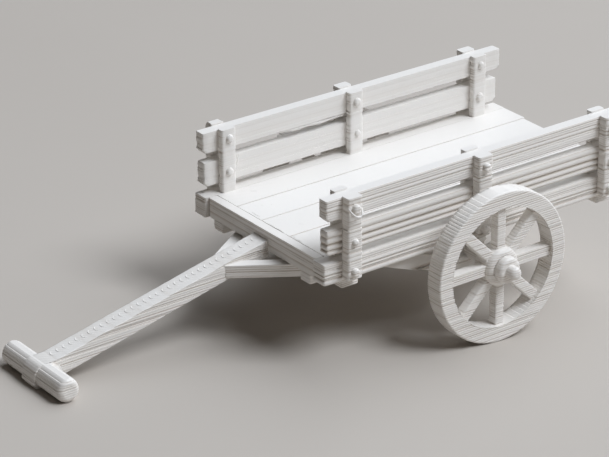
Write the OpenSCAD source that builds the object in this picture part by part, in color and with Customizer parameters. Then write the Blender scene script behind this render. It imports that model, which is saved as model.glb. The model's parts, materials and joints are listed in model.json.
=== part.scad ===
// Small printed model of a two-wheeled farm hand cart. It stands on its two wheels
// and on the T-handle of its drawbar, so the deck leans a little forwards.
// Lengths are in millimetres, +X points along the drawbar and +Z is up.

/* [Wheels] */
// Diameter over the rim
wheel_d = 20; // [17:0.5:24]
// Width of the rim across its tread
rim_w = 2.4; // [1.8:0.1:3.2]
// Thickness of the rim from tread to inside
rim_t = 2.1; // [1.2:0.1:3]
// Side of a square spoke
spoke_t = 1.4; // [0.8:0.1:1.7]
// Number of spokes
spoke_count = 8; // [5:1:8]
// Radius of the nave
nave_r = 2.5; // [2.2:0.1:3.2]
// Length of the nave along the axle
nave_l = 2.8; // [2.4:0.1:3.4]
// Rounding of the nave's outer edge
nave_round = 0.8; // [0.3:0.1:1]

/* [Axle] */
// Diameter of the axle
axle_d = 2; // [1.4:0.1:2.4]
// How far each axle end stands out of the nave
axle_end_l = 2.5; // [1.8:0.1:3.5]
// Rounding of the axle ends
axle_round = 0.6; // [0.2:0.1:0.6]
// Radius of the cap that holds the wheel
cap_r = 1.7; // [1.4:0.1:2]
// Thickness of that cap
cap_t = 1.1; // [0.6:0.1:1.5]
// Rounding of the cap's outer edge
cap_round = 0.5; // [0.2:0.1:0.5]
// Room between the rim and the outer posts
wheel_gap = 1.25; // [0.6:0.05:2]

/* [Deck] */
// Width over the two sills
bed_w = 27; // [24:0.5:32]
// Reach of the sills ahead of the axle
sill_front = 23.7; // [21:0.1:28]
// Reach of the sills behind the axle
sill_rear = 25; // [22:0.1:30]
// Height of the deck's top above the axle's centre
deck_rise = 5.05; // [4.8:0.05:8]
// Width of a sill
sill_w = 2.4; // [2:0.1:3]
// Height of the sills, planks and front header
sill_h = 2.6; // [2:0.1:3]
// Thickness of the front header
header_t = 1.35; // [1:0.05:2]
// Set-back of the header from the sill ends
header_in = 0.5; // [0:0.1:1]
// Width of the seam between two planks
seam_w = 0.16; // [0.1:0.02:0.3]
// Most that a plank's rear end stays short of the sill ends
plank_short = 0.5; // [0:0.1:1]

/* [Side boards] */
// Thickness of the rails
rail_t = 1.6; // [1:0.1:1.8]
// Height of the middle rails
mid_rail_h = 3.15; // [2.4:0.05:4]
// Height of the top rails
top_rail_h = 2.9; // [2.4:0.1:4]
// Gap above the sill and between the rails
rail_gap = 1.1; // [0.8:0.05:2]
// Set-back of the top rails from the sill ends
top_rail_in = 0.35; // [0:0.05:1]
// Set-back of the middle rails from the sills' front ends
mid_rail_front_in = 0.45; // [0:0.05:1]
// Set-back of the middle rails from the sills' rear ends
mid_rail_rear_in = 0.9; // [0:0.05:1.5]
// Width of a post along the cart
post_w = 2.2; // [1.6:0.05:3]
// Thickness of an outer post
post_out_t = 1.3; // [0.8:0.1:2]
// Thickness of an inner post
post_in_t = 0.95; // [0.7:0.05:1.5]
// How far the posts stand above the top rails
post_rise = 0.2; // [0.1:0.05:0.6]
// How far the outer posts stop above the sill's underside
post_lift = 0.4; // [0:0.1:0.8]
// Distance from the sill's front end to the front posts
post_front_in = 2.65; // [2.2:0.05:4]
// Distance from the sill's rear end to the rear posts
post_rear_in = 3.45; // [2.2:0.05:5]

/* [Underframe] */
// Height of the cross beams
beam_h = 1; // [0.8:0.1:1.6]
// Width of the cross beams along the cart
beam_w = 2.6; // [2:0.1:3]
// Height of the stringers
stringer_h = 1.2; // [0.9:0.1:1.8]
// Width of the stringers
stringer_w = 2.1; // [1.6:0.1:2.6]
// Distance from a sill's inner face to its stringer
stringer_in = 1; // [0.6:0.1:2]
// Thickness of an axle hanger
hanger_t = 1.6; // [1.2:0.1:2]
// Thickness of the hanger's web above its strut
hanger_web_t = 1.1; // [0.8:0.1:1.2]
// Set-back of the hangers from the sills' outer faces
hanger_in = 1; // [0.4:0.1:1.4]
// Reach of the hanger's toe ahead of the axle
hanger_toe = 16.1; // [13:0.1:17]
// Height of the hanger's strut
hanger_strut_h = 2.1; // [1.6:0.1:2.6]
// Half the width of the hanger's foot below the axle
hanger_foot = 1.3; // [1.2:0.1:2]
// How far the hanger reaches below the axle's centre
hanger_drop = 2.6; // [2.2:0.1:3.2]

/* [Drawbar] */
// Width of the drawbar
drawbar_w = 2.9; // [2:0.1:3.6]
// Depth of the drawbar, measured upright
drawbar_h = 2.2; // [1.6:0.1:2.4]
// Distance from the deck's top down to the drawbar's top at the header
drawbar_in = 1.1; // [0.3:0.1:1.2]
// Distance from the header to the handle's centre
drawbar_l = 31.9; // [24:0.1:38]
// Distance from the deck's top down to the handle's centre
handle_low = 9.5; // [8.8:0.1:11]
// Diameter of the handle
handle_d = 3; // [2.6:0.1:3.6]
// Length of the handle
handle_l = 13.2; // [9:0.1:18]
// Rounding of the handle's ends
handle_round = 0.6; // [0.2:0.1:0.8]
// Step from the handle down to the drawbar's round head
head_step = 0.2; // [0.2:0.05:0.3]
// Diameter of the handle's neck inside the drawbar's head
neck_d = 1.8; // [1.2:0.1:2]
// How far the drawbar's end stands out in front of the handle
stub_l = 0.4; // [0:0.1:0.6]
// Depth of the braces
brace_h = 1.75; // [1.2:0.05:2.2]
// Gap between the header's underside and the braces
brace_low = 0.2; // [0:0.1:0.6]
// Width of a brace, measured along the cart
brace_w = 2.7; // [1.8:0.1:3]
// Distance from the header to where a brace leaves the drawbar
brace_reach = 6.3; // [4.5:0.1:8]
// Distance from a stringer to its brace, at the front cross beam
brace_in = 1; // [0.2:0.1:2]

/* [Hidden] */
// Running clearance between nave and axle, measured on the radius
run_clear = 0.05;
// Room left around parts that are pushed together
seat_gap = 0.02;
// Overrun of every cut
cut_over = 0.5;
// Bevel on the handle's edges beside the drawbar, and on the lower edge of the drawbar's end
grip_bevel = 0.15;
stub_bevel = 0.6;
// Smoothness of round parts
$fn = 64;
// Where the plank edges lie across the deck, from the right sill to the left one
plank_edge_shares = [0, 0.194, 0.426, 0.689, 1];
// How much of plank_short each plank's rear end takes up
plank_end_shares = [0.3, 1, 0.5, 0.8];

wheel_r = wheel_d / 2;
rim_in_r = wheel_r - rim_t;
axle_r = axle_d / 2;
handle_r = handle_d / 2;
head_r = handle_r - head_step;
neck_r = neck_d / 2;

// Stations across the cart, measured from its middle
sill_out = bed_w / 2;
sill_inn = sill_out - sill_w;
rail_inn = sill_out - rail_t;
post_out = sill_out + post_out_t;
post_inn = rail_inn - post_in_t;
rim_inn = post_out + wheel_gap;
wheel_mid = rim_inn + rim_w / 2;
nave_out = wheel_mid + nave_l / 2;
axle_out = nave_out + axle_end_l;
stringer_out = sill_inn - stringer_in;
stringer_inn = stringer_out - stringer_w;
hanger_out = sill_out - hanger_in;

// Levels, measured from the axle's centre
sill_low = deck_rise - sill_h;
mid_rail_low = deck_rise + rail_gap;
top_rail_low = mid_rail_low + mid_rail_h + rail_gap;
post_top = top_rail_low + top_rail_h + post_rise;
beam_low = sill_low - beam_h;
lap_h = beam_h / 2;
handle_z = deck_rise - handle_low;

// Stations along the cart, measured from the axle
header_front = sill_front - header_in;
header_back = header_front - header_t;
// Front face of each row of posts: front, middle, rear
post_front_x = sill_front - post_front_in;
post_mid_x = post_w / 2;
post_rear_x = post_w + post_rear_in - sill_rear;
handle_x = header_front + drawbar_l;
brace_x = header_front + brace_reach;
stub_x = handle_x + handle_r + stub_l;

// Height of the drawbar's top at a station along the cart
drawbar_fall = deck_rise - drawbar_in - handle_z - drawbar_h / 2;
function drawbar_z(x) = deck_rise - drawbar_in - drawbar_fall * (x - header_front) / drawbar_l;

// Lean of the cart as it stands, with the handle and both wheels on the ground
lean = asin((wheel_r - handle_r) / norm([handle_x, handle_z])) - atan2(-handle_z, handle_x);
// Ends of the standing cart, which put the origin under its middle
stand_rear = sill_low * sin(lean) - sill_rear * cos(lean);
stand_front = stub_x * cos(lean) + drawbar_z(stub_x) * sin(lean);
axle_x = -(stand_rear + stand_front) / 2;

// Sets the cart on the ground: the axle's centre goes to its height and the cart leans
module stand() {
    translate([axle_x, 0, wheel_r]) rotate([0, lean, 0]) children();
}

// The right side is the left side mirrored: side is 1 for left and -1 for right
module on_side(side) {
    stand() mirror([0, side < 0 ? 1 : 0, 0]) children();
}

// A board between two opposite corners
module board(low, high) {
    translate(low) cube(high - low);
}

// A round rod along +Y from zero, with both end edges rounded
module rounded_rod(r, l, edge) {
    rotate([-90, 0, 0]) rotate_extrude() {
        translate([0, edge]) square([r, l - edge - edge]);
        square([r - edge, l]);
        intersection() {
            square([r, l]);
            for (y = [edge, l - edge]) translate([r - edge, y]) circle(edge);
        }
    }
}

// A round rod along +Y from zero, with only the outer end's edge rounded
module domed_rod(r, l, edge) {
    rotate([-90, 0, 0]) rotate_extrude() {
        square([r, l - edge]);
        square([r - edge, l]);
        translate([r - edge, l - edge]) circle(edge);
    }
}

// A plain hole along +Y
module hole(r, from, to) {
    translate([0, from - cut_over, 0]) rotate([-90, 0, 0])
        cylinder(r = r, h = to - from + cut_over + cut_over);
}

// Deck: planks laid lengthwise between the sills, closed by a header at the front
module plank(i) {
    right = i == 0 ? 0 : seam_w / 2;
    left = i == len(plank_end_shares) - 1 ? 0 : seam_w / 2;
    span = sill_inn + sill_inn;
    color("white") stand() board(
        [plank_short * plank_end_shares[i] - sill_rear, span * plank_edge_shares[i] - sill_inn + right, sill_low],
        [header_back, span * plank_edge_shares[i + 1] - sill_inn - left, deck_rise]);
}

module header() {
    color("white") stand() board([header_back, -sill_inn, sill_low], [header_front, sill_inn, deck_rise]);
}

module sill(side) {
    color("white") on_side(side) board([-sill_rear, sill_inn, sill_low], [sill_front, sill_out, deck_rise]);
}

// Side boards: two rails a side, held between outer and inner posts
module rail_middle(side) {
    color("white") on_side(side) board([mid_rail_rear_in - sill_rear, rail_inn, mid_rail_low],
        [sill_front - mid_rail_front_in, sill_out, mid_rail_low + mid_rail_h]);
}

module rail_top(side) {
    color("white") on_side(side) board([top_rail_in - sill_rear, rail_inn, top_rail_low],
        [sill_front - top_rail_in, sill_out, top_rail_low + top_rail_h]);
}

module post_outer(side, front) {
    color("white") on_side(side) board(
        [front - post_w, sill_out, sill_low + post_lift], [front, post_out, post_top]);
}

module post_inner(side, front) {
    color("white") on_side(side) board([front - post_w, post_inn, deck_rise], [front, rail_inn, post_top]);
}

// Underframe: cross beams below each row of posts, halved over two stringers
module beam(front) {
    color("white") stand() difference() {
        board([front - beam_w, -sill_out, beam_low], [front, sill_out, sill_low]);
        for (side = [-1, 1]) mirror([0, side < 0 ? 1 : 0, 0]) board(
            [front - beam_w - cut_over, stringer_inn - seat_gap, beam_low - cut_over],
            [front + cut_over, stringer_out + seat_gap, sill_low - lap_h]);
    }
}

module stringer(side) {
    color("white") on_side(side) difference() {
        board([header_in - sill_rear, stringer_inn, sill_low - stringer_h], [header_front, stringer_out, sill_low]);
        for (front = [post_front_x, post_mid_x, post_rear_x]) board(
            [front - beam_w - seat_gap, stringer_inn - cut_over, sill_low - lap_h],
            [front + seat_gap, stringer_out + cut_over, sill_low + cut_over]);
    }
}

// Axle hanger: a web under the sill with a strut that runs forward from below the axle
module hanger(side) {
    slope = (sill_low + hanger_drop) / (hanger_toe - hanger_foot);
    strut = [[hanger_toe, sill_low], [hanger_foot, -hanger_drop], [-hanger_foot, -hanger_drop],
        [-hanger_foot - axle_r, hanger_strut_h - hanger_drop], [hanger_foot, hanger_strut_h - hanger_drop],
        [hanger_toe - hanger_strut_h / slope, sill_low]];
    web = [[hanger_toe, sill_low], [hanger_foot, -hanger_drop], [-hanger_foot, -hanger_drop],
        [-hanger_foot - axle_d, sill_low]];
    color("white") on_side(side) difference() {
        translate([0, hanger_out, 0]) rotate([90, 0, 0]) union() {
            linear_extrude(hanger_t) polygon(strut);
            translate([0, 0, hanger_t - hanger_web_t]) linear_extrude(hanger_web_t) polygon(web);
        }
        hole(axle_r + seat_gap, hanger_out - hanger_t, hanger_out);
        board([post_mid_x - beam_w - seat_gap, hanger_out - hanger_t - cut_over, beam_low],
            [post_mid_x + seat_gap, hanger_out + cut_over, sill_low + cut_over]);
    }
}

module axle() {
    color("white") stand() translate([0, -axle_out, 0]) rounded_rod(axle_r, axle_out + axle_out, axle_round);
}

module axle_cap(side) {
    color("white") on_side(side) difference() {
        translate([0, nave_out + run_clear, 0]) domed_rod(cap_r, cap_t, cap_round);
        hole(axle_r + seat_gap, nave_out, nave_out + cap_t + run_clear);
    }
}

// Drawbar: a bar from the header down to a round head that carries the handle, with
// the bar's own end standing out in front of it
module drawbar() {
    color("white") stand() difference() {
        rotate([90, 0, 0]) linear_extrude(drawbar_w, center = true) union() {
            polygon([[header_front, drawbar_z(header_front)], [header_front, drawbar_z(header_front) - drawbar_h],
                [stub_x - stub_bevel, drawbar_z(stub_x - stub_bevel) - drawbar_h],
                [stub_x, drawbar_z(stub_x) - drawbar_h + stub_bevel], [stub_x, drawbar_z(stub_x)]]);
            translate([handle_x, handle_z]) circle(head_r);
        }
        translate([handle_x, 0, handle_z]) hole(neck_r + seat_gap, -drawbar_w / 2, drawbar_w / 2);
    }
}

// Handle: two round grips beside the drawbar, joined by a thinner neck through its head
module handle() {
    grip_l = (handle_l - drawbar_w) / 2;
    color("white") stand() translate([handle_x, 0, handle_z]) {
        for (side = [0, 1]) mirror([0, side, 0]) translate([0, drawbar_w / 2, 0]) rotate([-90, 0, 0])
            rotate_extrude() {
                polygon([[0, 0], [handle_r - grip_bevel, 0], [handle_r, grip_bevel],
                    [handle_r, grip_l - handle_round], [0, grip_l - handle_round]]);
                square([handle_r - handle_round, grip_l]);
                translate([handle_r - handle_round, grip_l - handle_round]) circle(handle_round);
            }
        translate([0, -drawbar_w / 2, 0]) rotate([-90, 0, 0]) cylinder(r = neck_r, h = drawbar_w);
    }
}

// Braces: from the drawbar's sides back under the header to the front cross beam
module brace(side) {
    inn = drawbar_w / 2;
    out = stringer_inn - brace_in;
    narrow = (out - inn) * brace_w / (brace_x - post_front_x);
    plan = [[brace_x, inn], [post_front_x, out], [post_front_x, out - narrow], [brace_x - brace_w, inn]];
    color("white") on_side(side) translate([0, 0, sill_low - brace_low - brace_h])
        linear_extrude(brace_h) polygon(plan);
}

// Wheels: rim, square spokes and a turned nave that runs on the axle's end
module wheel_rim(side) {
    color("white") on_side(side) difference() {
        translate([0, rim_inn, 0]) rotate([-90, 0, 0]) cylinder(r = wheel_r, h = rim_w);
        hole(rim_in_r, rim_inn, rim_inn + rim_w);
    }
}

module wheel_spokes(side) {
    color("white") on_side(side) difference() {
        intersection() {
            translate([0, rim_inn, 0]) rotate([-90, 0, 0]) cylinder(r = rim_in_r - seat_gap, h = rim_w);
            for (i = [0 : spoke_count - 1]) rotate([0, i * 360 / spoke_count, 0])
                board([0, wheel_mid - spoke_t / 2, -spoke_t / 2], [wheel_r, wheel_mid + spoke_t / 2, spoke_t / 2]);
        }
        hole(nave_r + seat_gap, rim_inn, rim_inn + rim_w);
    }
}

module wheel_nave(side) {
    color("white") on_side(side) difference() {
        translate([0, nave_out - nave_l, 0]) domed_rod(nave_r, nave_l, nave_round);
        hole(axle_r + run_clear, nave_out - nave_l, nave_out);
    }
}

for (i = [0 : len(plank_end_shares) - 1])
    plank(i);
header();
beam(post_front_x);  // beam_front
beam(post_mid_x);  // beam_middle
beam(post_rear_x);  // beam_rear
axle();
drawbar();
handle();
for (s = [["left", 1], ["right", -1]]) {
    sill(s[1]);
    stringer(s[1]);
    rail_middle(s[1]);
    rail_top(s[1]);
    hanger(s[1]);
    axle_cap(s[1]);
    brace(s[1]);
    wheel_rim(s[1]);
    wheel_spokes(s[1]);
    wheel_nave(s[1]);
    for (row = [["front", post_front_x], ["middle", post_mid_x], ["rear", post_rear_x]]) {
        post_outer(s[1], row[1]);
        post_inner(s[1], row[1]);
    }
}
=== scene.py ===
import json
from math import cos, pi, radians, sin

import bpy
import numpy as np
from mathutils import Matrix, Vector


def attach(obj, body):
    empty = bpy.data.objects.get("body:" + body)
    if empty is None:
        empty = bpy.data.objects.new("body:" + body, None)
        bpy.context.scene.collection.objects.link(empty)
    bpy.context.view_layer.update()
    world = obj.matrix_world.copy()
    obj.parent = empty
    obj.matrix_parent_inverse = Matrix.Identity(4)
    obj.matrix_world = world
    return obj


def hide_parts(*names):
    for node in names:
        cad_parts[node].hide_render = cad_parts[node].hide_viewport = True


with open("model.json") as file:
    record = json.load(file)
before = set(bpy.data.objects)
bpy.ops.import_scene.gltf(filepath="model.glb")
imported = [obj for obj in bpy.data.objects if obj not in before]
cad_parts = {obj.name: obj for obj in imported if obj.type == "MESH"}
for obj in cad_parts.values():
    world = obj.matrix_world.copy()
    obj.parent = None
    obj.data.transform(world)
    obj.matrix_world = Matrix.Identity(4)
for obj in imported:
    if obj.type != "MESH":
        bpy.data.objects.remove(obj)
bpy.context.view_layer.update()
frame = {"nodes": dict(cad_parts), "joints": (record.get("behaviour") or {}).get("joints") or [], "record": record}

# Camera: a long lens at the cart's front left, looking down on the deck. It is tipped a
# little to one side, so that the leaning deck shows level. Its place is in metres.
camera_place = (0.203648, 0.259657, 0.147888)
camera_round, camera_down, camera_tip = radians(52.0016), radians(22.4356), radians(3.4105)
focal_length = 171.36
nearest, furthest = 0.01, 20
back = Vector((cos(camera_down) * cos(camera_round), cos(camera_down) * sin(camera_round),
               sin(camera_down)))
level = Vector((-sin(camera_round), cos(camera_round), 0))
upward = back.cross(level)
right = level * cos(camera_tip) + upward * sin(camera_tip)
above = upward * cos(camera_tip) - level * sin(camera_tip)
camera = bpy.data.objects.new("camera", bpy.data.cameras.new("camera"))
camera.data.lens = focal_length
camera.data.clip_start, camera.data.clip_end = nearest, furthest
camera.matrix_world = Matrix((right, above, back)).transposed().to_4x4()
camera.location = camera_place
bpy.context.scene.collection.objects.link(camera)
bpy.context.scene.camera = camera

# Sills: two boards along the sides of the deck, which carry the side boards. The whole cart is
# printed in white plastic, in thin layers that lie level with the deck, so each wall is a pile
# of round-edged beads, some of them drawn a little further in than others.
layer_height = 0.3
bead_shares = np.array([0, 0.12, 0.3, 0.5, 0.7, 0.88, 1])
groove_depth, groove_least, groove_most = 0.04, 0.5, 1.9
layer_wander, steady_part, drawn_in_part = 0.11, 0.2, 0.8
drawn_in_share, fused_share, inside_share = 0.35, 0.35, 0.16
ripple_depth = 0.012
ripple_lengths = np.array([9.0, 3.7, 1.6])
station_gap, least_stations = 0.8, 2
board_corner, corner_points, widest_corner_share = 0.3, 4, 0.45
tiny = 1e-9

# Pieces are measured in millimetres from the middle of the axle, along the cart's own axes.
mm_in_metre = 1000
deck_up = np.array(next(m["axis"] for m in frame["record"]["mounts"] if m["name"] == "bed_floor"))
axle_place = np.array(frame["joints"][0]["pos_m"])
cart_axes = np.array([[deck_up[2], 0, -deck_up[0]], [0, 1, 0], deck_up])


def corners(node):
    """Lowest and highest corner of a solid along the cart's own axes."""
    mesh = frame["nodes"][node].data
    places = np.empty(3 * len(mesh.vertices))
    mesh.vertices.foreach_get("co", places)
    places = (places.reshape(-1, 3) - axle_place) @ cart_axes.T * mm_in_metre
    return places.min(0), places.max(0)


def layer_edges(low, high, fused_seed=None):
    """Heights between the layers of a piece: equal steps, as near to the layer height as fits. On
    rougher pieces some neighbouring layers have run into one."""
    edges = np.linspace(low, high, max(1, round((high - low) / layer_height)) + 1)
    if fused_seed is None:
        return edges
    kept = np.random.default_rng(fused_seed).random(len(edges)) > fused_share
    kept[[0, -1]] = True
    return edges[kept]


def board_plan(x_low, x_high, y_low, y_high, corner=board_corner):
    """Outline of a board at each height, seen from above and run anticlockwise: four quarter
    circles at the corners, with straight runs of evenly spaced stations between them."""
    x_low, x_high, y_low, y_high = np.broadcast_arrays(
        *(np.atleast_1d(np.asarray(side, float)) for side in (x_low, x_high, y_low, y_high)))
    length, width = x_high - x_low, y_high - y_low
    radius = np.minimum(corner, widest_corner_share * np.minimum(length, width))
    along, across = (int(np.max(run) / station_gap) + least_stations for run in (length, width))
    quarter = np.linspace(0, pi / 2, corner_points)
    centres = ((x_high - radius, y_low + radius), (x_high - radius, y_high - radius),
               (x_low + radius, y_high - radius), (x_low + radius, y_low + radius))
    arcs = [np.stack([x[:, None] + radius[:, None] * np.cos(quarter + pi / 2 * (i - 1)),
                      y[:, None] + radius[:, None] * np.sin(quarter + pi / 2 * (i - 1))], -1)
            for i, (x, y) in enumerate(centres)]
    runs = []
    for arc, following, count in zip(arcs, arcs[1:] + arcs[:1], (across, along, across, along)):
        share = (np.arange(1, count) / count)[None, :, None]
        runs += [arc, arc[:, -1:] + (following[:, :1] - arc[:, -1:]) * share]
    return np.concatenate(runs, 1)


def pile(outline, edges, seed, wander=layer_wander, groove=groove_depth, wave=ripple_depth,
         sag=0.0, end_wander=0.0):
    """Wall of a pile of layers. A point is its row's outline drawn in along the normal by the
    bead's round edge, depth * (2s - 1)^2 at share s of the layer's height, by the layer's own
    set-back and by a slow ripple, all fading out on level ground. Walls that look to the cart's
    middle are smoother, ends to the front and rear may be uneven, and sag lowers the first
    layer's lower edge along the ripple."""
    chance = np.random.default_rng(seed)
    layers, beads, stations = len(edges) - 1, len(bead_shares), outline.shape[1]
    rows = layers * beads
    tall = np.diff(edges)[:, None, None]
    outline = np.broadcast_to(outline, (rows, stations, 2)).reshape(layers, beads, stations, 2)
    ahead = np.roll(outline, -1, 2) - np.roll(outline, 1, 2)
    normal = np.stack([ahead[..., 1], -ahead[..., 0]], -1)
    normal /= np.linalg.norm(normal, axis=-1, keepdims=True) + tiny
    inside = np.clip(-normal[..., 1] * np.sign(outline[..., 1]), 0, 1)
    endways = np.clip(normal[..., 0] * np.sign(outline[..., 0]), 0, 1)
    rough = 1 - inside * (1 - inside_share)

    step = np.linalg.norm(np.roll(outline, -1, 2) - outline, axis=-1).mean((0, 1))
    turn = 2 * pi * np.cumsum(step) / step.sum()
    waves = np.maximum(1, np.round(step.sum() / ripple_lengths))
    phase = chance.uniform(0, 2 * pi, (layers, 1, len(waves)))
    ripple = (1 + np.sin(turn[None, :, None] * waves + phase).mean(-1)) / 2
    drawn_in = chance.random(layers) * (chance.random(layers) < drawn_in_share)
    own = wander * (steady_part * chance.random(layers) + drawn_in_part * drawn_in)
    tone = (chance.random(layers) + drawn_in) / 2
    deep = groove_least + (groove_most - groove_least) * chance.random(layers + 1) ** 2
    bead = (2 * bead_shares - 1) ** 2 * np.where(bead_shares < 0.5, deep[:-1, None], deep[1:, None])
    inset = groove * (tall / layer_height) * bead[..., None] + (own[:, None] + wave * ripple)[:, None]
    inset = inset * rough + end_wander * chance.random((layers, 1, 1)) * endways
    lean = np.abs(((outline[:, -1:] - outline[:, :1]) * normal).sum(-1)) / tall
    inset = inset / (1 + lean ** 2)
    flat = outline - normal * inset[..., None]
    height = edges[:-1, None, None] + tall * bead_shares[:, None] + 0 * inset
    height[0] -= sag * ripple[0] * (1 - bead_shares)[:, None]
    points = np.concatenate([flat, height[..., None]], -1).reshape(-1, 3)

    index = np.arange(rows * stations).reshape(rows, stations)
    onward = np.roll(index, -1, 1)
    faces = np.stack([index[:-1], onward[:-1], onward[1:], index[1:]], -1)
    ledge = np.arange(rows - 1) % beads == beads - 1
    run = np.abs((np.diff(outline.reshape(rows, stations, 2), axis=0)
                  * normal.reshape(rows, stations, 2)[:-1]).sum(-1))
    rise = np.diff(height.reshape(rows, stations), axis=0)
    steep = (rise / (rise + run + tiny))[..., None]
    # what the finish reads on each corner of a face: the layer's tone, how much painted shade its groove takes
    # (most at the beads' edges, on steep outer walls), the flat skin
    marks = np.zeros((rows - 1, stations, 4, 3))
    marks[..., 0] = np.repeat(tone, beads)[:-1, None, None]
    depth = np.minimum(bead ** 2, 1).reshape(-1, 1, 1)
    groove_shade_weight = steep * rough.reshape(rows, stations, 1)[:-1]
    marks[..., :2, 1], marks[..., 2:, 1] = depth[:-1] * groove_shade_weight, depth[1:] * groove_shade_weight
    marks[..., 2] = 1 - steep
    ends = [(index[0, ::-1], tone[0]), (index[-1], tone[-1])]
    return points, faces.reshape(-1, 4), np.repeat(~ledge, stations), marks.reshape(-1, 3), ends


def block(low, high, seed, **laying):
    """A plain board between two opposite corners, as a pile of layers."""
    plan = board_plan(low[0], high[0], low[1], high[1])
    return pile(plan, layer_edges(low[2], high[2], seed), seed, **laying)


def printed(name, walls, finish, body, *nodes):
    """One printed piece from its piles: the cart's axes times each point's place, from the axle,
    set it on the standing cart. It rides on its body and stands for its solids."""
    points, corners_of, sizes, smooth, marks = [], [], [], [], []
    base = 0
    for wall, faces, round_faces, face_tone_and_shade, ends in walls:
        points.append(wall)
        corners_of += [faces.ravel() + base, *(ring + base for ring, _ in ends)]
        sizes += [np.full(len(faces), 4), [len(ring) for ring, _ in ends]]
        smooth += [round_faces, np.zeros(len(ends), bool)]
        marks += [face_tone_and_shade, *(np.tile((tone, 0, 1), (len(ring), 1)) for ring, tone in ends)]
        base += len(wall)
    points = axle_place + np.concatenate(points) @ cart_axes / mm_in_metre
    corners_of, sizes, smooth = (np.concatenate(part) for part in (corners_of, sizes, smooth))
    mesh = bpy.data.meshes.new(name)
    mesh.vertices.add(len(points))
    mesh.vertices.foreach_set("co", points.ravel())
    mesh.loops.add(len(corners_of))
    mesh.loops.foreach_set("vertex_index", corners_of)
    mesh.polygons.add(len(sizes))
    mesh.polygons.foreach_set("loop_start", np.cumsum(sizes) - sizes)
    mesh.polygons.foreach_set("use_smooth", smooth)
    mesh.update(calc_edges=True)
    edge_of = np.empty(len(corners_of), int)
    mesh.loops.foreach_get("edge_index", edge_of)
    sharp = np.zeros(len(mesh.edges), bool)
    sharp[edge_of[np.repeat(~smooth, sizes)]] = True
    mesh.attributes.new("sharp_edge", "BOOLEAN", "EDGE").data.foreach_set("value", sharp)
    # each corner carries the layer's tone, the weight of painted shade in its groove, and the flat skin
    mesh.attributes.new("layer_tone_groove_shade_skin", "FLOAT_VECTOR", "CORNER").data.foreach_set(
        "vector", np.concatenate(marks).ravel())
    mesh.materials.append(finish)
    made = bpy.data.objects.new(name, mesh)
    bpy.context.scene.collection.objects.link(made)
    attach(made, body)
    if nodes:
        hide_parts(*nodes)


class Tone:
    """One output of a finish's nodes. Sums, differences and products of tones and numbers add
    Math nodes, and node() adds any other node with its settings and its inputs."""

    def __init__(self, socket):
        self.socket = socket

    def node(self, kind, settings, inputs, output=0):
        made = self.socket.id_data.nodes.new(kind)
        for name, value in settings.items():
            setattr(made, name, value)
        for name, value in inputs.items():
            if isinstance(value, Tone):
                self.socket.id_data.links.new(value.socket, made.inputs[name])
            else:
                made.inputs[name].default_value = value
        return Tone(made.outputs[output])

    def math(self, operation, first, second):
        return self.node("ShaderNodeMath", {"operation": operation}, {0: first, 1: second})

    def __add__(self, other):
        return self.math("ADD", self, other)

    def __sub__(self, other):
        return self.math("SUBTRACT", self, other)

    def __rsub__(self, other):
        return self.math("SUBTRACT", other, self)

    def __mul__(self, other):
        return self.math("MULTIPLY", self, other)

    __radd__, __rmul__ = __add__, __mul__

    def mixed(self, first, second):
        """Two colours mixed: a Mix node's inputs 6 and 7, and their mix at its output 2."""
        return self.node("ShaderNodeMix", {"data_type": "RGBA"}, {0: self, 6: first, 7: second}, 2)

    def into(self, shader, socket):
        self.socket.id_data.links.new(self.socket, shader.inputs[socket])


def white_print():
    """Satin white plastic: each layer has a slightly different tone, the grooves between the beads are painted a
    darker, warmer shade in place of the shade that falls in them, and the flat skins carry the slanting lines in
    which they were filled."""
    # The third colour is painted shade: the dark warm tone that the grooves between beads are mixed towards.
    chalk, bone, painted_groove_shade = (0.914, 0.887, 0.85, 1), (0.864, 0.822, 0.772, 1), (0.56, 0.48, 0.4, 1)
    layer_part, cloud_part, chalk_part, painted_shade_part = 0.7, 0.4, 0.15, 0.75
    cloud_scale, cloud_detail, grit_scale, grit_detail = 220, 3, 6500, 2
    plain_rough, cloud_rough, groove_rough = 0.36, 0.16, 0.12
    fill_pitch, fill_angle, fill_part = 0.00042, pi / 4, 0.5
    bump_strength, bump_height = 0.35, 0.00003
    refraction = 1.46
    material = bpy.data.materials.new("white_print")
    material.use_nodes = True
    shader = material.node_tree.nodes["Principled BSDF"]
    place = Tone(material.node_tree.nodes.new("ShaderNodeTexCoord").outputs["Object"])
    marks = place.node("ShaderNodeAttribute", {"attribute_name": "layer_tone_groove_shade_skin"}, {}, "Vector")
    layer, groove, skin = (marks.node("ShaderNodeSeparateXYZ", {}, {0: marks}, i) for i in range(3))
    cloud, grit = (place.node("ShaderNodeTexNoise", {},
                              {"Vector": place, "Scale": scale, "Detail": detail})
                   for scale, detail in ((cloud_scale, cloud_detail), (grit_scale, grit_detail)))
    body = (layer_part * layer + cloud_part * cloud - chalk_part).mixed(chalk, bone)
    # painted shade: the body colour is mixed towards the shade colour by the groove's weight
    (painted_shade_part * groove).mixed(body, painted_groove_shade).into(shader, "Base Color")
    (plain_rough + cloud_rough * cloud + groove_rough * groove).into(shader, "Roughness")
    across_lines = (cos(fill_angle) / fill_pitch, sin(fill_angle) / fill_pitch, 0)
    slant = place.node("ShaderNodeVectorMath", {"operation": "DOT_PRODUCT"},
                       {0: place, 1: across_lines}, "Value")
    lines = slant.math("SINE", 2 * pi * slant, 0)
    place.node("ShaderNodeBump", {}, {"Strength": bump_strength, "Distance": bump_height,
                                      "Height": skin * lines * fill_part + grit}).into(shader, "Normal")
    shader.inputs["IOR"].default_value = refraction
    return material


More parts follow.
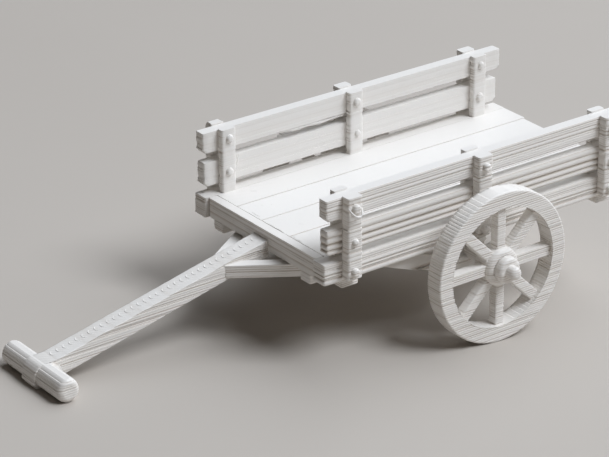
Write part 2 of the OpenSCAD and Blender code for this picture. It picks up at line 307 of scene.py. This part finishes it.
white = white_print()
sides = (("left", 1), ("right", -1))
scored = {"wander": 0.14, "groove": 0.055, "sag": 0.06}
sill_end_wander = 0.05
sill_seeds = {"left": 581, "right": 546}
for side, _ in sides:
    board = block(*corners(f"sill_{side}"), seed=sill_seeds[side], end_wander=sill_end_wander, **scored)
    printed(f"printed_sill_{side}", [board], white, "cart", f"sill_{side}")

# Deck: four planks laid lengthwise between the sills, closed at the front by a header. They are
# printed in one with the sills, and only a fine seam in the top layer parts two planks.
plank_count, deck_corner = 4, 0.1
seam_half, seam_share = 0.08, 0.4
flush = {"wander": 0.02, "groove": 0.012, "wave": 0.05}
header_end_wander = 0.07
for i in range(1, plank_count + 1):
    low, high = corners(f"plank_{i}")
    edges = layer_edges(low[2], high[2])
    layers_up = (np.arange(len(edges) - 1)[:, None] + bead_shares).ravel()
    closed = np.where(layers_up <= len(edges) - 2 + seam_share, seam_half, 0)
    plan = board_plan(low[0], high[0], low[1] - closed, high[1] + closed, deck_corner)
    printed(f"printed_plank_{i}", [pile(plan, edges, seed=20 + i, **flush)], white, "cart", f"plank_{i}")
header = block(*corners("header"), seed=26, end_wander=header_end_wander, **flush)
printed("printed_header", [header], white, "cart", "header")

# Underframe: three cross beams under the sills, halved over two stringers that run the length
# of the deck. Their ends show as square feet below the sills and below the header.
rows = ("front", "middle", "rear")
beams = {row: corners(f"beam_{row}") for row in rows}
stringers = {side: corners(f"stringer_{side}") for side, _ in sides}
halving = (beams["front"][0][2] + beams["front"][1][2]) / 2
cuts = sorted((low[1], high[1]) for low, high in stringers.values())
for k, (row, (low, high)) in enumerate(beams.items()):
    stops = [low[1], *(y for cut in cuts for y in cut), high[1]]
    feet = [block((low[0], stops[j], low[2]), (high[0], stops[j + 1], halving), seed=30 + 4 * k + j)
            for j in range(0, len(stops), 2)]
    top = block((low[0], low[1], halving), high, seed=33 + 4 * k)
    printed(f"printed_beam_{row}", [top, *feet], white, "cart", f"beam_{row}")
cuts = sorted((low[0], high[0]) for low, high in beams.values())
for k, (side, (low, high)) in enumerate(stringers.items()):
    stops = [low[0], *(x for cut in cuts for x in cut), high[0]]
    runs = [block((stops[j], low[1], halving), (stops[j + 1], high[1], high[2]), seed=50 + 10 * k + j)
            for j in range(0, len(stops), 2)]
    bottom = block(low, (high[0], high[1], halving), seed=59 + 10 * k)
    printed(f"printed_stringer_{side}", [bottom, *runs], white, "cart", f"stringer_{side}")

# Axle hangers: a web below each sill with a thicker strut along its lower edge, which runs
# forward and up from below the axle to the sill. They are printed in one with the sills.
layer_ease = 0.88


def row_heights(edges, ease=layer_ease):
    """Heights at which the rows of beads take their outline: between each layer's middle, which
    gives square steps on a slope, and the rows' own heights, which gives none."""
    middle = (edges[:-1, None] + edges[1:, None]) / 2
    return middle + ease * np.diff(edges)[:, None] * (bead_shares - 0.5)


def level_spans(shape, heights):
    """Lowest and highest x at which level lines cross a convex shape in the upright plane, from
    the crossings of the lines with its sides; a span is never narrower than two layers' height."""
    start = np.asarray(shape, float)
    end = np.roll(start, -1, 0)
    with np.errstate(divide="ignore", invalid="ignore"):
        share = (heights[:, None] - start[:, 1]) / (end[:, 1] - start[:, 1])
        x = start[:, 0] + (end[:, 0] - start[:, 0]) * share
    crossed = (share >= 0) & (share <= 1)
    low = np.where(crossed, x, np.inf).min(1)
    high = np.where(crossed, x, -np.inf).max(1)
    spare = np.maximum(0, 2 * layer_height - (high - low)) / 2
    return low - spare, high + spare


def upright(shape, y_low, y_high, seed, corner=board_corner, fused=True, **laying):
    """A convex upright shape carried across the cart, cut into level layers: each row's outline
    is a board between the row's two crossings with the shape."""
    shape = np.asarray(shape, float)
    edges = layer_edges(shape[:, 1].min(), shape[:, 1].max(), seed if fused else None)
    low, high = level_spans(shape, row_heights(edges).ravel())
    return pile(board_plan(low, high, y_low, y_high, corner), edges, seed, **laying)


sill_low = corners("sill_left")[0][2]
hanger_toe, hanger_foot, hanger_drop, strut_height, axle_radius = 16.1, 1.3, 2.6, 2.1, 1.0
web_thickness = 1.1
strut_top = strut_height - hanger_drop
strut_back = hanger_toe - strut_height * (hanger_toe - hanger_foot) / (sill_low + hanger_drop)
strut = [(hanger_toe, sill_low), (hanger_foot, -hanger_drop), (-hanger_foot, -hanger_drop),
         (-hanger_foot - axle_radius, strut_top), (hanger_foot, strut_top), (strut_back, sill_low)]
web = [(hanger_toe, sill_low), (hanger_foot, -hanger_drop), (-hanger_foot, -hanger_drop),
       (-hanger_foot - 2 * axle_radius, sill_low)]
for k, (side, way) in enumerate(sides):
    low, high = corners(f"hanger_{side}")
    inner = (low[1], low[1] + web_thickness) if way > 0 else (high[1] - web_thickness, high[1])
    walls = [upright(strut, low[1], high[1], seed=70 + k), upright(web, *inner, seed=72 + k)]
    printed(f"printed_hanger_{side}", walls, white, "cart", f"hanger_{side}")

# Axle: a round rod through both hangers, with a domed cap outside each wheel and a rounded tip.
# Printed lying down, so its round sides are stepped.
end_stations, least_across, least_half_width = 8, 5, layer_height / 4
seed_step = 1000


def turned(radius, low, high, edge, seed, bore=0, way=0, ease=layer_ease, **laying):
    """A round piece along the axle with its outer edge rounded: at height z the layer's half
    width is sqrt(reach(y)^2 - z^2), where reach falls from the radius along a quarter circle
    at the outer end. A bore parts the middle layers in two. way -1 mirrors it to the right, and
    way 0 carries it to both sides."""
    edges = layer_edges(-radius, radius)
    z = row_heights(edges, ease).reshape(-1, 1)
    over = np.clip(np.abs(z) - radius + edge, 0, edge)
    end = high - edge + np.sqrt(edge ** 2 - over ** 2)
    share = 1 - (1 - np.linspace(0, 1, int((high - low) / station_gap) + end_stations)) ** 2
    y = low + (end - low) * share
    rounding = np.clip(y - high + edge, 0, edge)
    reach = radius - edge + np.sqrt(np.maximum(edge ** 2 - rounding ** 2, 0))
    wide = np.sqrt(np.maximum(reach ** 2 - z ** 2, least_half_width ** 2))
    if way == 0:
        y, wide = (np.concatenate([sign * half[:, :0:-1], half], 1)
                   for sign, half in ((-1, y), (1, wide)))
        way = 1
    count = int(2 * radius / station_gap) + least_across
    across = (np.arange(1, count) / count)[None, :, None]

    def closed(x_out, x_in):
        """Outline from the outer wall, over the end, back along the inner wall, over the start."""
        outer, inner = np.stack([x_out, y], -1), np.stack([x_in, y], -1)[:, ::-1]
        over_end = outer[:, -1:] + (inner[:, :1] - outer[:, -1:]) * across
        over_start = inner[:, -1:] + (outer[:, :1] - inner[:, -1:]) * across
        return np.concatenate([outer, over_end, inner, over_start], 1)

    whole = closed(wide, -wide)
    middle = (edges[:-1] + edges[1:]) / 2
    groups = [(whole, 0, len(middle))]
    if bore:
        hollow = np.sqrt(np.maximum(bore ** 2 - z ** 2, 0)) + 0 * y
        front, rear = closed(wide, hollow), closed(-wide, -hollow)[:, ::-1]
        parted = np.flatnonzero(np.abs(middle) < bore)
        start, stop = parted[0], parted[-1] + 1
        groups = [(whole, 0, start), (front, start, stop), (rear, start, stop),
                  (whole, stop, len(middle))]
    piles = []
    for k, (outline, first, last) in enumerate(groups):
        plan = outline[first * len(bead_shares):last * len(bead_shares)] * (1, way)
        piles.append(pile(plan[:, ::way], edges[first:last + 1], seed + seed_step * k, **laying))
    return piles


axle_reach = corners("axle")[1][1]
cap_reach = corners("axle_cap_left")[1][1]
rod_edge, tip_radius, tip_edge, tip_sunk, cap_edge = 0.1, 0.85, 0.6, 0.3, 0.5
fine, soft = {"wander": 0.06, "groove": 0.06}, {"wander": 0.04, "groove": 0.03}
rod = turned(axle_radius, 0, cap_reach - rod_edge, rod_edge, seed=80, **fine)
for k, (_, way) in enumerate(sides):
    rod += turned(tip_radius, cap_reach - tip_sunk, axle_reach, tip_edge, seed=82 + k, way=way, **soft)
printed("printed_axle", rod, white, "cart", "axle")
for k, (side, way) in enumerate(sides):
    low, high = corners(f"axle_cap_{side}")
    inner, outer = sorted((abs(low[1]), abs(high[1])))
    cap = turned(high[2], inner, outer, cap_edge, seed=84 + k, way=way, **soft)
    printed(f"printed_axle_cap_{side}", cap, white, "cart", f"axle_cap_{side}")

# Side boards: a middle and a top rail on each side. They bridge the posts with nothing under
# them, so their lowest layer sags a little, their free ends are soft, and the top rail has drawn
# up from the middle one.
soft_end, shrunk, rail_end_wander = 0.4, 0.22, 0.06
for k, (side, _) in enumerate(sides):
    for j, rail in enumerate(("middle", "top")):
        low, high = corners(f"rail_{rail}_{side}")
        low[2] += shrunk * (rail == "top")
        shape = [(low[0] + soft_end, low[2]), (high[0] - soft_end, low[2]),
                 (high[0], low[2] + soft_end), (high[0], high[2]),
                 (low[0], high[2]), (low[0], low[2] + soft_end)]
        board = upright(shape, low[1], high[1], seed=92 - 2 * k + j,
                        end_wander=rail_end_wander, **scored)
        printed(f"printed_rail_{rail}_{side}", [board], white, "cart", f"rail_{rail}_{side}")

# Posts: three pairs on each side, which hold the rails between an outer and an inner post and
# are let into them a little. The bolts' round heads are printed on them, three outside and two
# flatter ones inside, a few layers each and none quite alike.
post_grip = 0.12
bolt_radius, bolt_edge, bolt_sunk, bolt_lift, bolt_wander = 0.55, 0.35, 0.2, 0.3, 0.14
bolt_stand = {"out": 0.55, "in": 0.38}
bolt_least, bolt_most, bolt_drift = 0.82, 1.1, 0.12
for k, (side, way) in enumerate(sides):
    boards = [np.mean([corner[2] for corner in corners(f"{board}_{side}")])
              for board in ("rail_top", "rail_middle", "sill")]
    for j, row in enumerate(rows):
        for face, heads in (("out", boards), ("in", boards[:2])):
            low, high = corners(f"post_{face}_{row}_{side}")
            seed = 100 + 20 * k + 4 * j + (face == "in")
            outward = way if face == "out" else -way
            surface = outward * (high[1] if outward > 0 else low[1])
            (low if outward > 0 else high)[1] -= outward * post_grip
            printed(f"printed_post_{face}_{row}_{side}", [block(low, high, seed)],
                    white, "cart", f"post_{face}_{row}_{side}")
            bolts = []
            chance = np.random.default_rng(seed)
            for n, height in enumerate(heads):
                size = chance.uniform(bolt_least, bolt_most)
                along, up = chance.uniform(-bolt_drift, bolt_drift, 2)
                centre = ((low[0] + high[0]) / 2 + along, 0, height + up + bolt_lift * (n == 0))
                dome = turned(size * bolt_radius, surface - bolt_sunk,
                              surface + size * bolt_stand[face], bolt_edge, seed=300 + 10 * seed + n,
                              way=outward, wander=bolt_wander)
                bolts += [(points + centre, *rest) for points, *rest in dome]
            printed(f"printed_bolts_{face}_{row}_{side}", bolts, white, "cart")

# Stray plastic: where the nozzle left the posts it drew fine threads, one of them in a loop under
# a bolt's head. A thicker strand droops from the right top rail, and short threads lie on the
# deck by the header.
ring_points, points_a_stretch = 6, 6
thin_end, cut_off, uneven = 0.35, 0.1, 0.15
no_thread_way = (0.2, 0.3, 0.93)


def strand(way_points, radius, seed):
    """A round thread: rings of points set square to a path that runs through its way points, each
    stretch a cubic from one to the next whose slope at a way point is half the step between its
    neighbours. The thread is thinner towards both ends and a little uneven."""
    way_points = np.asarray(way_points, float)
    at = np.linspace(0, len(way_points) - 1, points_a_stretch * len(way_points))
    held = np.concatenate([way_points[:1], way_points, way_points[-1:]])
    k = np.minimum(at.astype(int), len(way_points) - 2)
    s = (at - k)[:, None]
    before, start, end, after = (held[k + i] for i in range(4))
    path = (2 * start + (end - before) * s + (2 * before - 5 * start + 4 * end - after) * s ** 2
            + (3 * start - before - 3 * end + after) * s ** 3) / 2
    ahead = np.gradient(path, axis=0)
    ahead /= np.linalg.norm(ahead, axis=1, keepdims=True)
    side = np.cross(ahead, no_thread_way)
    side /= np.linalg.norm(side, axis=1, keepdims=True)
    turn = np.linspace(0, 2 * pi, ring_points, endpoint=False)[:, None]
    swell = np.sin(pi * np.linspace(cut_off, 1 - cut_off, len(path)))
    thick = radius * (thin_end + (1 - thin_end) * swell)
    thick *= np.random.default_rng(seed).uniform(1 - uneven, 1 + uneven, len(path))
    rings = side[:, None] * np.cos(turn) + np.cross(ahead, side)[:, None] * np.sin(turn)
    points = path[:, None] + thick[:, None, None] * rings
    index = np.arange(ring_points * len(path)).reshape(-1, ring_points)
    onward = np.roll(index, -1, 1)
    faces = np.stack([index[:-1], onward[:-1], onward[1:], index[1:]], -1).reshape(-1, 4)
    return (points.reshape(-1, 3), faces, np.ones(len(faces), bool), np.zeros((4 * len(faces), 3)),
            [(index[0, ::-1], 0), (index[-1], 0)])


loop_radius, wisp_radius, droop_radius, thread_radius = 0.14, 0.045, 0.3, 0.07
low, high = corners("post_out_front_left")
bolt_height = np.mean([corner[2] for corner in corners("rail_top_left")]) + bolt_lift
bolt = np.array([(low[0] + high[0]) / 2, high[1], bolt_height])
loop = bolt + [(0.95, -0.5, 0.3), (0.85, 0.3, -0.3), (0.45, 0.7, -0.75),
               (-0.1, 0.75, -0.85), (-0.5, 0.6, -0.5), (-0.75, 0.1, -0.1)]
printed("print_strand_post_left", [strand(loop, loop_radius, seed=400)], white, "cart")
low, high = corners("post_in_front_right")
post_edge = np.array([low[0], high[1], high[2]])
wisps = [post_edge + [(0.1, -0.1, -3.6), (-0.5, -0.5, -4.6), (-0.2, -0.6, -5.6)],
         post_edge + [(0.2, 0, -5.9), (-0.3, -0.3, -5.0), (-0.9, -0.75, -3.9)]]
wisps = [strand(path, wisp_radius, seed=401 + k) for k, path in enumerate(wisps)]
printed("print_strands_post_right", wisps, white, "cart")
low, high = corners("rail_top_right")
droop = [(11.8, 0.05), (10.4, -0.15), (8.6, -0.3), (6.8, -0.22), (4.9, -0.35), (3.1, -0.25),
         (1.2, -0.3)]
droop = [(x, high[1] - droop_radius, low[2] + shrunk + z) for x, z in droop]
printed("print_droop_rail_right", [strand(droop, droop_radius, seed=405)], white, "cart")
thread_sunk = 0.02
thread_height = corners("plank_1")[1][2] - thread_sunk
lying = [[(17.9, -9.6), (17.5, -9.3), (17.1, -9.0)], [(18.2, -4.6), (18.0, -4.6)],
         [(19.3, -5.3), (18.9, -5.1)], [(21.6, -0.5), (21.75, 0.9), (21.7, 2.2), (21.9, 3.5)],
         [(21.9, 4.2), (21.5, 4.6), (21.7, 5.1)], [(21.75, 5.2), (21.6, 5.9), (21.7, 6.6)],
         [(18.9, 1.8), (18.4, 2.3), (17.9, 2.4)], [(21.3, -4.4), (21.4, -3.4), (21.3, -2.6)]]
threads = [strand([(x, y, thread_height) for x, y in path], thread_radius, seed=410 + k)
           for k, path in enumerate(lying)]
printed("print_strands_deck", threads, white, "cart")

# Drawbar: a sloping bar from the header down to a round head that carries the handle and stands
# a little proud of its grips, rounded into them behind. Its sides show the level layers, and a
# row of curved marks runs down its smooth top, where the nozzle ended each layer.
bar_depth, bar_corner, bar_sunk, bar_short, end_bevel = 2.2, 0.2, 0.3, 0.15, 0.6
head_proud, head_rise, neck_drop, neck_back, neck_front, nose_drop = 0.1, 0.03, 0.05, 1.0, 0.3, 0.3
sliver, no_steps = 0.01, 1
header_front = corners("header")[1][0]
bar_low, bar_high = corners("drawbar")
handle_low, handle_high = corners("handle")
handle_x, handle_z = (handle_low[0] + handle_high[0]) / 2, (handle_low[2] + handle_high[2]) / 2
grip_radius = handle_high[2] - handle_z
head_radius, head_top = grip_radius + head_proud, grip_radius + head_rise
neck_top = grip_radius - neck_drop
fall = (bar_high[2] - handle_z - bar_depth / 2) / (handle_x - header_front)
end_top = bar_high[2] - fall * (bar_high[0] - header_front)
bar_back, bar_end = header_front - bar_sunk, bar_high[0] - bar_short
bar = [(bar_back, bar_high[2]), (bar_back, bar_high[2] - bar_depth),
       (bar_end - end_bevel, end_top + fall * end_bevel - bar_depth),
       (bar_end, end_top - bar_depth + end_bevel), (bar_end, handle_z - nose_drop),
       (handle_x + neck_front, handle_z + neck_top), (handle_x - neck_back, handle_z + neck_top)]
edges = layer_edges(bar_low[2], bar_high[2])
heights = row_heights(edges, no_steps).ravel()
bar_floor = min(z for _, z in bar)
from_x, to_x = level_spans(bar, np.maximum(heights, bar_floor + sliver))
head = np.sqrt(np.maximum(head_radius ** 2 - (heights - handle_z) ** 2, 0))
in_head, in_bar = heights - handle_z < head_top, heights > bar_floor
from_x = np.where(in_head, np.minimum(np.where(in_bar, from_x, np.inf), handle_x - head), from_x)
to_x = np.where(in_head, np.maximum(np.where(in_bar, to_x, -np.inf), handle_x + head), to_x)
walls = [pile(board_plan(from_x, to_x, bar_low[1], bar_high[1], bar_corner), edges, seed=200)]
fillet, fillet_points, fillet_low, fillet_top, sunk = 0.6, 13, -0.9, -0.03, 0.3
smooth = {"wander": 0, "groove": 0, "wave": 0}
arc = np.linspace(0, pi / 2, fillet_points)
edges = handle_z + np.array([fillet_low, neck_top + fillet_top])
up_grip = row_heights(edges, no_steps).reshape(-1, 1) - handle_z
handle_back = handle_x - np.sqrt(grip_radius ** 2 - up_grip ** 2)
along = np.concatenate([fillet * (np.sin(arc) - 1), [sunk, sunk, -fillet]])
across = np.concatenate([fillet * (1 - np.cos(arc)), [fillet, -sunk, -sunk]])
for k, (_, way) in enumerate(sides):
    plan = np.stack([handle_back + along, 0 * handle_back + way * (bar_high[1] + across)], -1)
    walls.append(pile(plan[:, ::-way], edges, seed=204 + k, **smooth))
printed("printed_drawbar", walls, white, "cart", "drawbar")
mark_count, mark_radius, mark_side, mark_turn, mark_points = 34, 0.55, -0.15, 1.2, 5
mark_first, mark_last, mark_sunk, mark_thickness = 0.6, 2.2, 0.03, 0.085
turn = np.linspace(-mark_turn, mark_turn, mark_points)
marks = []
for k, x in enumerate(np.linspace(header_front + mark_first, handle_x - mark_last, mark_count)):
    mark_x, mark_y = x + mark_radius * np.cos(turn), mark_side + mark_radius * np.sin(turn)
    mark_z = np.interp(mark_x, (bar_back, handle_x - neck_back), (bar_high[2], handle_z + neck_top))
    crescent = np.stack([mark_x, mark_y, mark_z - mark_sunk], -1)
    marks.append(strand(crescent, mark_thickness, seed=430 + k))
printed("print_marks_drawbar", marks, white, "cart")

# Handle: a round grip on each side of the drawbar's head, printed in one with it. The outer ends
# are rounded, and the layers show as low steps along the grips.
grip_edge, grip_ease = 0.7, 0.7
grips = turned(grip_radius, 0, handle_high[1], grip_edge, seed=210, ease=grip_ease, **fine)
printed("printed_handle", [(points + (handle_x, 0, handle_z), *rest) for points, *rest in grips],
        white, "cart", "handle")

# Braces: two short bars that spread from the drawbar's sides back under the header to the front
# beam. They are printed in one with the bar, so their tips are sunk in it.
brace_width, brace_points = 2.7, 14
beam_front = beams["front"][1][0]
for k, (side, way) in enumerate(sides):
    low, high = corners(f"brace_{side}")
    inner, outer = sorted((abs(low[1]), abs(high[1])))
    slope = (high[0] - beam_front) / (outer - inner)
    inner, tip = inner - sunk, high[0] + sunk * slope
    plan = np.array([(tip, inner), (beam_front, outer),
                     (beam_front, outer - brace_width / slope), (tip - brace_width, inner)])
    share = np.linspace(0, 1, brace_points, endpoint=False)[:, None]
    plan = np.concatenate([a + (b - a) * share for a, b in zip(plan, np.roll(plan, -1, 0))])[None]
    bar = pile((plan * (1, way))[:, ::way], layer_edges(low[2], high[2]), seed=220 + k)
    printed(f"printed_brace_{side}", [bar], white, "cart", f"brace_{side}")

# Wheels: a rim, eight square spokes and a nave that is rounded outside. They are printed
# standing, so the tread is stepped and the layers run across the faces.
rim_bore, rim_edge, tread_ease = 7.9, 0.25, 0.8
nave_bore, nave_edge = 1.05, 0.8
spoke_count, spoke_half, spoke_corner, sunk_in_nave, sunk_in_rim = 8, 0.7, 0.2, 0.3, 0.2
for k, (side, way) in enumerate(sides):
    wheel = f"wheel_{side}"
    low, high = corners(f"{wheel}_rim")
    inner, outer = sorted((abs(low[1]), abs(high[1])))
    middle = way * (inner + outer) / 2
    rim = turned(high[2], inner, outer, rim_edge, seed=230 + k, bore=rim_bore, way=way,
                 ease=tread_ease, **fine)
    printed(f"printed_{wheel}_rim", rim, white, wheel, f"{wheel}_rim")
    low, high = corners(f"{wheel}_nave")
    inner, outer = sorted((abs(low[1]), abs(high[1])))
    nave = turned(high[2], inner, outer, nave_edge, seed=240 + k, bore=nave_bore, way=way, **soft)
    printed(f"printed_{wheel}_nave", nave, white, wheel, f"{wheel}_nave")
    spoke_foot, spoke_tip = high[2] - sunk_in_nave, rim_bore + sunk_in_rim
    bar = np.array([(spoke_foot, -spoke_half), (spoke_tip, -spoke_half),
                    (spoke_tip, spoke_half), (spoke_foot, spoke_half)])
    spokes = []
    for n in range(spoke_count):
        a = 2 * pi * n / spoke_count
        shape = bar @ np.array([(cos(a), sin(a)), (-sin(a), cos(a))])
        spokes.append(upright(shape, middle - spoke_half, middle + spoke_half, seed=250 + 10 * k + n,
                              corner=spoke_corner, fused=False, **fine))
    printed(f"printed_{wheel}_spokes", spokes, white, wheel, f"{wheel}_spokes")

# Floor: a plain sheet of pale matt paper under the cart, a little uneven in tone. It is large
# enough to fill the view, and is no part of the cart.
floor_half, paper_cloud_scale, paper_cloud_detail, paper_rough = 3.0, 14, 4, 0.7
paper_dark, paper_light = (0.505, 0.462, 0.415, 1), (0.535, 0.492, 0.445, 1)
mesh = bpy.data.meshes.new("floor")
mesh.from_pydata([(x * floor_half, y * floor_half, 0) for x, y in ((-1, -1), (1, -1), (1, 1), (-1, 1))],
                 [], [(0, 1, 2, 3)])
floor = bpy.data.objects.new("floor", mesh)
bpy.context.scene.collection.objects.link(floor)
paper = bpy.data.materials.new("pale_paper")
paper.use_nodes = True
shader = paper.node_tree.nodes["Principled BSDF"]
place = Tone(paper.node_tree.nodes.new("ShaderNodeTexCoord").outputs["Object"])
cloud = place.node("ShaderNodeTexNoise", {},
                   {"Vector": place, "Scale": paper_cloud_scale, "Detail": paper_cloud_detail})
cloud.mixed(paper_dark, paper_light).into(shader, "Base Color")
shader.inputs["Roughness"].default_value = paper_rough
mesh.materials.append(paper)

# Light: a soft round lamp high on the cart's left and a broad one high behind it, both a little
# cold, in a dim warm room. Each lamp faces the cart.
lamp_tint = (0.88, 0.93, 1)
room_tint, room_strength = (1, 0.93, 0.87, 1), 0.05
for name, spot, size, watts in (("key", (-0.33, 0.58, 1.0), 0.6, 10.6),
                                ("behind", (-0.7, -0.1, 0.95), 1.4, 10.3)):
    lamp = bpy.data.objects.new(name, bpy.data.lights.new(name, "AREA"))
    lamp.data.shape, lamp.data.size = "DISK", size
    lamp.data.energy, lamp.data.color = watts, lamp_tint
    lamp.location = spot
    lamp.rotation_mode = "QUATERNION"
    lamp.rotation_quaternion = Vector(spot).to_track_quat("Z", "Y")
    bpy.context.scene.collection.objects.link(lamp)
room = bpy.data.worlds.new("room")
room.use_nodes = True
room.node_tree.nodes["Background"].inputs["Color"].default_value = room_tint
room.node_tree.nodes["Background"].inputs["Strength"].default_value = room_strength
bpy.context.scene.world = room
bpy.context.scene.view_settings.view_transform = "Standard"
